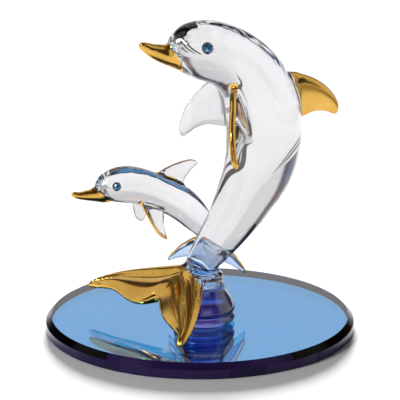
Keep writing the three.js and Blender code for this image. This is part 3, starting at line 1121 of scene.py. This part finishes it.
@dataclass
class Mother:
    """The large dolphin, standing on her clear neck."""

    neck_r: float = 6.8
    neck_h: float = 5.5
    neck_profile: Rows = ((0.97, 0), (1, 0.08), (0.94, 0.35), (0.91, 0.75), (0.7, 1), (0.55, 1.25))
    neck_rings: int = 14
    neck_sides: int = 32
    dorsal_lead: Rows = (
        (20, 82), (28.4, 81), (34.3, 79.1), (39.8, 76.2), (44.2, 71.8), (46.1, 67.6), (45.6, 64.9),
    )
    dorsal_trail: Rows = (
        (26, 63.5), (33.2, 65.3), (36, 66.4), (38.6, 66.8), (41.6, 66.3), (43.8, 65.4),
        (45.3, 64.6),
    )
    flipper_lead: Rows = (
        (9, 3.5, 81.5), (4.3, 9.5, 78), (2.6, 13.4, 74.5), (0.9, 16.7, 70.5), (-0.3, 19.6, 66.5),
        (-0.9, 21.8, 61.5), (-0.8, 23, 58.3), (0, 23.2, 56.1),
    )
    flipper_trail: Rows = (
        (14, 5, 62.5), (10.2, 9.5, 62), (6.5, 14, 62), (4.9, 16, 61.4), (3.5, 17.9, 60.4),
        (2.3, 19.8, 58.9), (1.4, 21.4, 57.4), (0.4, 22.9, 55.9),
    )
    crown: Rows = ((-13, 95), (-8, 98.5), (0, 100), (8, 98), (15, 92.5), (21, 86), (25.5, 79))
    # Least x and height of the dorsal fin's gold, and how far it stays off the back.
    gilt_dorsal: tuple = (20.0, 60.0, 0.9)
    # Top of the flukes' gold, its reach off a lobe, where it starts past the stem, its length.
    gilt_flukes: tuple = (27.0, 0.8, 0.10, 16.0)

    def neck(self) -> Piece:
        """The clear neck that stands on the knob."""
        line = Line(self.neck_profile)
        rings = []
        for i in range(self.neck_rings):
            r, h = line(i / (self.neck_rings - 1))
            centre = place(STAND.knob_x, STAND.mother_y, STAND.knob_h + h * self.neck_h)
            r *= self.neck_r * MM
            rings.append((centre, Vector((r, 0, 0)), Vector((0, r, 0))))
        return Bench.skin("neck", rings, self.neck_sides)

    def on_dorsal(self, dolphin: Dolphin, co: np.ndarray) -> np.ndarray:
        """Above zero on all of the dorsal fin outside the back."""
        x, h, clear = self.gilt_dorsal
        out = np.full(len(co), -1.0)
        here = np.where((co[:, 0] > x * MM) & (co[:, 2] > h * MM))[0]
        out[here] = Bench.gap(dolphin.skin, co[here]) - clear * MM
        return out

    def on_flukes(self, dolphin: Dolphin, co: np.ndarray) -> np.ndarray:
        """Above zero on the flukes below the tail stem."""
        below, reach, start, length = self.gilt_flukes
        out = np.full(len(co), -1.0)
        here = np.where((co[:, 2] < below * MM) & (MOTHER_FLUKES.along(co) > 0.0))[0]
        lobes = [np.abs(Bench.gap(skin, co[here])) for skin in dolphin.fin_skins[-2:]]
        past_stem = (MOTHER_FLUKES.along(co[here]) - start) * length * MM
        out[here] = np.minimum(reach * MM - np.minimum(*lobes), past_stem)
        return out

    def dolphin(self) -> Dolphin:
        """Lays out the mother's parts and gilding, and makes her neck.

        Returns:
            The mother, ready to build.
        """
        y = STAND.mother_y
        near, far = (
            outward("mother_flipper", side, self.flipper_lead, self.flipper_trail, y, 4.2, 1.8)
            for side in Side
        )
        dorsal = upright("mother_dorsal", self.dorsal_lead, self.dorsal_trail, y, 4.4, 1.7)
        lobes = MOTHER_FLUKES.lobes()
        return Dolphin(
            "mother_glass", "mother_dolphin",
            Trunk("mother_trunk", MOTHER_BODY, y, 48, 30),
            Trunk("mother_beak", MOTHER_BEAK, y, 18, 20),
            fins=[dorsal, near, far, *lobes],
            carved=lobes,
            extra=[self.neck()],
            voxel=0.42,
            crown=self.crown,
            crown_reach=8.5,
            crown_depth=0.38,
            gilding=[
                lambda _, co: beyond(co, (-9.9, 85.1), (-13.7, 93.4), 18 * MM),
                self.on_dorsal,
                self.on_flukes,
                lambda _, co: near.band(co, 1.5 * MM, 1.3 * MM, 0.55),
                lambda _, co: far.band(co, 0.45 * MM),
            ],
        )


@dataclass
class Calf:
    """The small dolphin at her mother's side."""

    dorsal_lead: Rows = (
        (-15.5, 46), (-13.3, 48.8), (-10, 50.2), (-6.7, 51.2), (-3, 51.8), (-0.6, 51.5),
        (0.7, 50.4),
    )
    dorsal_trail: Rows = (
        (-6.5, 41), (-4.5, 43.6), (-4.1, 45.6), (-2.9, 47.4), (-1.6, 48.8), (-0.3, 49.6),
        (0.6, 50.1),
    )
    flipper_lead: Rows = (
        (-21.4, 2, 42.4), (-20.9, 4.5, 39.9), (-19.6, 7.2, 35.9), (-17.9, 9.6, 32), (-16, 11, 30),
        (-14.6, 11.6, 29),
    )
    flipper_trail: Rows = (
        (-12.4, 2.4, 39), (-13.2, 4.7, 36), (-14.3, 7, 33.9), (-14.7, 9.2, 31.2),
        (-14.6, 10.6, 29.9), (-14.4, 11.5, 28.9),
    )
    crown: Rows = ((-34.5, 48), (-31, 50.5), (-26, 52), (-20, 51), (-13, 48), (-7, 44.5))

    def dolphin(self) -> Dolphin:
        """Lays out the calf's parts and gilding.

        Returns:
            The calf, ready to build.
        """
        y, fine = STAND.calf_y, (20, 16)
        near, far = (
            outward(
                "calf_flipper", side, self.flipper_lead, self.flipper_trail, y, 2.5, 1.2, *fine
            )
            for side in Side
        )
        dorsal = upright("calf_dorsal", self.dorsal_lead, self.dorsal_trail, y, 2.6, 1.1, *fine)
        lobes = CALF_FLUKES.lobes()
        return Dolphin(
            "calf_glass", "calf_dolphin",
            Trunk("calf_trunk", CALF_BODY, y, 34, 24),
            Trunk("calf_beak", CALF_BEAK, y, 16, 16),
            fins=[dorsal, near, far, *lobes],
            carved=[],
            extra=[],
            voxel=0.3,
            crown=self.crown,
            crown_reach=5.0,
            crown_depth=0.24,
            gilding=[
                lambda _, co: beyond(co, (-31.1, 42.1), (-35.9, 45.9), 16 * MM),
                lambda _, co: dorsal.band(co, 0.5 * MM, 0.45 * MM, 0.4),
                lambda _, co: near.band(co, 0.75 * MM, 0.6 * MM, 0.3),
                lambda _, co: far.band(co, 0.75 * MM, 0.6 * MM, 0.3),
                lambda _, co: lobes[0].band(co, 0.6 * MM, 0.5 * MM, 0.6),
                lambda _, co: lobes[1].band(co, 0.6 * MM, 0.5 * MM, 0.6),
            ],
        )


def part_from(piece: Piece, other: Piece, gap: float) -> None:
    """Cuts a piece clear of another by a gap.

    Args:
        piece: the piece that is cut.
        other: the piece that it makes room for.
        gap: clear distance, in metres.
    """
    cutter = other.copy()
    cutter.data = other.data.copy()
    bpy.context.scene.collection.objects.link(cutter)
    Bench.modify(cutter, "DISPLACE", strength=gap, mid_level=0.0)
    Bench.modify(piece, "BOOLEAN", operation="DIFFERENCE", object=cutter, solver="MANIFOLD")
    bpy.data.objects.remove(cutter)


@dataclass
class Knob:
    """The violet beehive knob that carries the mother."""

    profile: Rows = (
        (0.93, 0), (1, 0.1), (0.995, 0.17), (0.935, 0.245), (0.995, 0.345), (0.985, 0.45),
        (0.9, 0.61), (0.77, 0.8), (0.7, 0.93), (0.68, 1),
    )
    rings: int = 40
    sides: int = 48
    lift: float = 0.03
    seam: float = 0.08
    smooth_under: float = 40.0

    def build(self, finishes: Finishes, mother: Piece) -> None:
        """The knob, cut clear of the mother.

        Args:
            finishes: the materials.
            mother: the piece that stands on it.
        """
        line = Line([(r * STAND.knob_r, h * STAND.knob_h) for r, h in self.profile])
        rings = []
        for i in range(self.rings):
            r, h = line(i / (self.rings - 1))
            centre = place(STAND.knob_x, STAND.mother_y, h)
            if i == 0:
                centre.z += self.lift * MM
            rings.append((centre, Vector((r * MM, 0, 0)), Vector((0, r * MM, 0))))
        piece = Bench.skin("violet_knob", rings, self.sides, levels=1)
        part_from(piece, mother, self.seam * MM)
        Bench.pick(piece)
        bpy.ops.object.shade_smooth_by_angle(angle=math.radians(self.smooth_under))
        Bench.paint(piece, finishes.violet)
        Bench.finish(piece, "cobalt_knob", "violet_glass")


@dataclass
class MirrorDisc:
    """The round mirror with its ground bevel."""

    sides: int = 192
    arris: float = 0.12
    arris_over: float = 20.0
    top_within: float = 0.01
    smooth_under: float = 12.0
    flat: float = 0.99
    sloped: float = 0.2

    def tone(self, up: float) -> int:
        """Which finish a face takes, by how far up it looks: top, underside, bevel or wall."""
        if abs(up) > self.flat:
            return 0 if up > 0 else 1
        return 2 if up > self.sloped else 3

    def build(self, finishes: Finishes) -> None:
        """The disc.

        Args:
            finishes: the materials.
        """
        Bench.clear()
        bpy.ops.mesh.primitive_cylinder_add(
            vertices=self.sides, radius=STAND.disc_d / 2 * MM, depth=STAND.disc_t * MM,
            location=(0, 0, STAND.disc_t / 2 * MM),
        )
        piece = bpy.context.object
        piece.name = piece.data.name = "mirror_disc"
        bpy.ops.object.transform_apply(location=True, rotation=True, scale=True)
        bpy.ops.object.mode_set(mode="EDIT")
        bpy.ops.mesh.select_mode(type="EDGE")
        bm = bmesh.from_edit_mesh(piece.data)
        top = (STAND.disc_t - self.top_within) * MM
        for edge in bm.edges:
            edge.select = all(v.co.z > top for v in edge.verts)
        bm.select_flush_mode()
        bmesh.update_edit_mesh(piece.data)
        bpy.ops.mesh.bevel(
            offset=STAND.bevel * MM, segments=1, affect="EDGES", offset_type="OFFSET"
        )
        bpy.ops.object.mode_set(mode="OBJECT")
        Bench.modify(
            piece, "BEVEL", width=self.arris * MM, segments=2, limit_method="ANGLE",
            angle_limit=math.radians(self.arris_over),
        )
        Bench.paint(piece, finishes.face, finishes.silver, finishes.edge, finishes.wall)
        for face in piece.data.polygons:
            face.material_index = self.tone(face.normal.z)
        Bench.pick(piece)
        bpy.ops.object.shade_smooth_by_angle(angle=math.radians(self.smooth_under))
        Bench.finish(piece, "mirror_base", "mirror_glass")


@dataclass(frozen=True)
class Studio:
    """Pale floor, soft light and the camera of the picture."""

    azimuth: float = -22.0
    elevation: float = 16.008
    distance: float = 0.8
    aim: tuple = (0.0, 0.0, 0.043441)
    lens: float = 220.793
    shift: float = 0.0004
    floor_size: float = 8.0
    floor_drop: float = 0.00015
    strip_height: float = 0.0005
    card_height: float = 0.0004
    card_size: float = 1.6
    card_reach: float = 1.2
    corners: tuple = (-0.72, -0.15)
    before: tuple = (0.80, 0.95)
    above: tuple = (0.58, 0.45)
    patch_scale: float = 3.5
    strength: float = 0.88
    strips: tuple = (
        (Side.RIGHT, 0.125, 0.155, 1.2), (Side.RIGHT, 0.19, 0.235, 1.2),
        (Side.RIGHT, 0.31, 0.40, 1.2), (Side.LEFT, 0.34, 0.42, 3.0), (Side.LEFT, 0.52, 0.80, 3.0),
    )
    strip_tones: Stops = ((0.3, (0.045, 0.032, 0.026)), (0.7, (0.065, 0.046, 0.036)))
    card_tones: Stops = ((0.3, (0.30, 0.27, 0.25)), (0.7, (0.36, 0.33, 0.30)))
    patches: Stops = (
        (0.40, (0.16, 0.05, 0.028)), (0.45, (0.045, 0.035, 0.035)), (0.51, (0.04, 0.04, 0.045)),
        (0.55, (0.08, 0.15, 0.30)), (0.60, (0.04, 0.04, 0.05)), (0.66, (0.18, 0.06, 0.035)),
    )
    sun: tuple = (13.0, 18.0, 15.2)
    lights: tuple = (
        ("top_light", 0.0, 80.0, 1.6, (1.2, 1.2), 2.5, False),
        ("key_light", -55.0, 40.0, 0.9, (0.22, 0.16), 3.0, True),
    )
    heights: tuple = (
        (0.0, 1.0), (0.40, 1.0), (0.55, 0.95), (0.89, 0.85), (0.965, 0.10), (1.0, 0.05),
    )

    def build(self) -> None:
        """Sets the whole stage."""
        self.camera()
        self.floor()
        self.flags()
        self.sky()
        elevation, spread, strength = self.sun
        sun = self.light("back_light", "SUN", self.back(180.0, elevation), strength, False)
        sun.data.angle = math.radians(spread)
        for light in self.lights:
            self.softbox(*light)

    def back(self, turn: float, elevation: float) -> Vector:
        """The way from the aim to a place, turned from the camera, by angles in degrees."""
        a, e = math.radians(self.azimuth + turn), math.radians(elevation)
        return Vector((math.sin(a) * math.cos(e), -math.cos(a) * math.cos(e), math.sin(e)))

    def camera(self) -> None:
        """The camera at the picture's viewing angle."""
        data = bpy.data.cameras.new("camera")
        data.lens = self.lens
        data.sensor_width = 36.0
        data.shift_x = self.shift
        camera = Bench.add("camera", data)
        back = self.back(0.0, self.elevation)
        camera.location = Vector(self.aim) + back * self.distance
        camera.rotation_euler = (-back).to_track_quat("-Z", "Y").to_euler()
        bpy.context.scene.camera = camera

    def floor(self) -> None:
        """The plain pale floor."""
        Bench.clear()
        bpy.ops.mesh.primitive_plane_add(size=self.floor_size, location=(0, 0, -self.floor_drop))
        floor = bpy.context.object
        floor.name = "floor"
        n = Nodes("pale_floor", Roughness=0.6, IOR=1.3)
        n.colour(n.grain(3.0, 1.0), [(0.3, (0.90, 0.90, 0.90)), (0.7, (0.93, 0.93, 0.93))])
        Bench.paint(floor, n.material)

    def sheet(self, name: str, place: tuple, size: float, scale: tuple, n: Nodes, ray: str) -> None:
        """One sheet on the floor beside the object.

        Args:
            name: its name.
            place: how far out it lies, to the right of the camera's view, and how high.
            size: its size before scaling.
            scale: its scale along and across the view.
            n: its material's nodes.
            ray: the one kind of ray that sees it.
        """
        Bench.clear()
        turn = math.radians(self.azimuth)
        at = (place[0] * math.cos(turn), place[0] * math.sin(turn), place[1])
        bpy.ops.mesh.primitive_plane_add(size=size, location=at, rotation=(0, 0, turn))
        sheet = bpy.context.object
        sheet.scale = (*scale, 1.0)
        sheet.name = name
        Bench.paint(sheet, n.material)
        for kind in ("camera", "diffuse", "glossy", "transmission", "shadow"):
            setattr(sheet, f"visible_{kind}", kind == ray)

    def flags(self) -> None:
        """Dark strips on the floor that only glass sees, and grey sheets that only gloss sees."""
        dark = Nodes("dark_flag", Roughness=0.9)
        dark.colour(dark.grain(8.0, 1.0), self.strip_tones)
        for i, (side, inner, outer, deep) in enumerate(self.strips):
            at = (side.value * (inner + outer) / 2, self.strip_height)
            self.sheet(f"flag_{i}", at, 1.0, (outer - inner, deep), dark, "transmission")
        grey = Nodes("grey_card", Roughness=0.9)
        grey.colour(grey.grain(8.0, 1.0), self.card_tones)
        for side in Side:
            at = (side.value * self.card_reach, self.card_height)
            self.sheet(f"card_{side.name.lower()}", at, self.card_size, (1, 1), grey, "glossy")

    def sky(self) -> None:
        """White round the object, dark overhead, high up in front and in four corners."""
        world = bpy.data.worlds.new("studio")
        bpy.context.scene.world = world
        world.use_nodes = True
        n = Graph(world.node_tree)
        way = n.add("ShaderNodeTexCoord").outputs["Generated"]
        x, y, z = n.split(way)
        front = math.radians(-90.0 + self.azimuth)
        turned = n.math("SUBTRACT", n.math("ARCTAN2", y, x), front)
        sides = n.span(n.math("COSINE", n.math("MULTIPLY", turned, 4.0)), *self.corners)
        before = n.span(n.math("COSINE", turned), *self.before, 1.0, 0.0)
        free = n.math("MAXIMUM", before, n.span(z, *self.above))
        dark = n.ramp(n.noise(way, self.patch_scale), self.patches)
        white = n.ramp(z, [(at, (g, g, g)) for at, g in self.heights])
        background = n.tree.nodes["Background"].inputs
        n.link(n.mix(n.math("MULTIPLY", sides, free), dark, white), background["Color"])
        background["Strength"].default_value = self.strength
        world.cycles_visibility.diffuse = False

    def light(self, name: str, kind: str, back: Vector, power: float, seen: bool) -> Piece:
        """A lamp that shines against the way given.

        Args:
            name: its name.
            kind: the lamp's type.
            back: the way from the aim to the lamp.
            power: its strength or its watts.
            seen: whether glass and gold mirror it.

        Returns:
            The lamp.
        """
        data = bpy.data.lights.new(name, kind)
        data.energy = power
        light = Bench.add(name, data)
        light.rotation_euler = (-back).to_track_quat("-Z", "Y").to_euler()
        light.visible_glossy = light.visible_transmission = seen
        return light

    def softbox(
        self, name: str, turn: float, elevation: float, distance: float, size: tuple,
        watts: float, seen: bool,
    ) -> None:
        """One soft light.

        Args:
            name: the light's name.
            turn: where it stands, from the camera's own azimuth, in degrees.
            elevation: how high it stands, in degrees.
            distance: how far from the aim, in metres.
            size: width and height, in metres.
            watts: its power.
            seen: False for a light that glass and gold don't mirror.
        """
        back = self.back(turn, elevation)
        light = self.light(name, "AREA", back, watts, seen)
        light.data.shape = "RECTANGLE"
        light.data.size, light.data.size_y = size
        light.location = Vector(self.aim) + back * distance


def look() -> None:
    """Plain colours, so that the white of the studio stays white."""
    bpy.context.scene.view_settings.view_transform = "Standard"


def main() -> None:
    """Builds the studio and every piece, in order."""
    logging.basicConfig(level=logging.INFO, format="%(name)s: %(message)s")
    look()
    Studio().build()
    finishes = Finishes()
    MirrorDisc().build(finishes)
    mother, calf = Mother().dolphin(), Calf().dolphin()
    mother_piece = mother.build()
    Knob().build(finishes, mother_piece)
    calf_piece = calf.build()
    part_from(calf_piece, mother_piece, CALF_SEAM)
    for dolphin, piece in ((mother, mother_piece), (calf, calf_piece)):
        dolphin.gild(piece, finishes)
        piece.visible_shadow = False
        Bench.finish(piece, dolphin.node, "clear_glass")
    for side in Side:
        for name, *sizes in STONES:
            Stone(f"{name}_eye_{side.name.lower()}", *sizes, side).build(finishes)


if __name__ == "__main__":
    main()
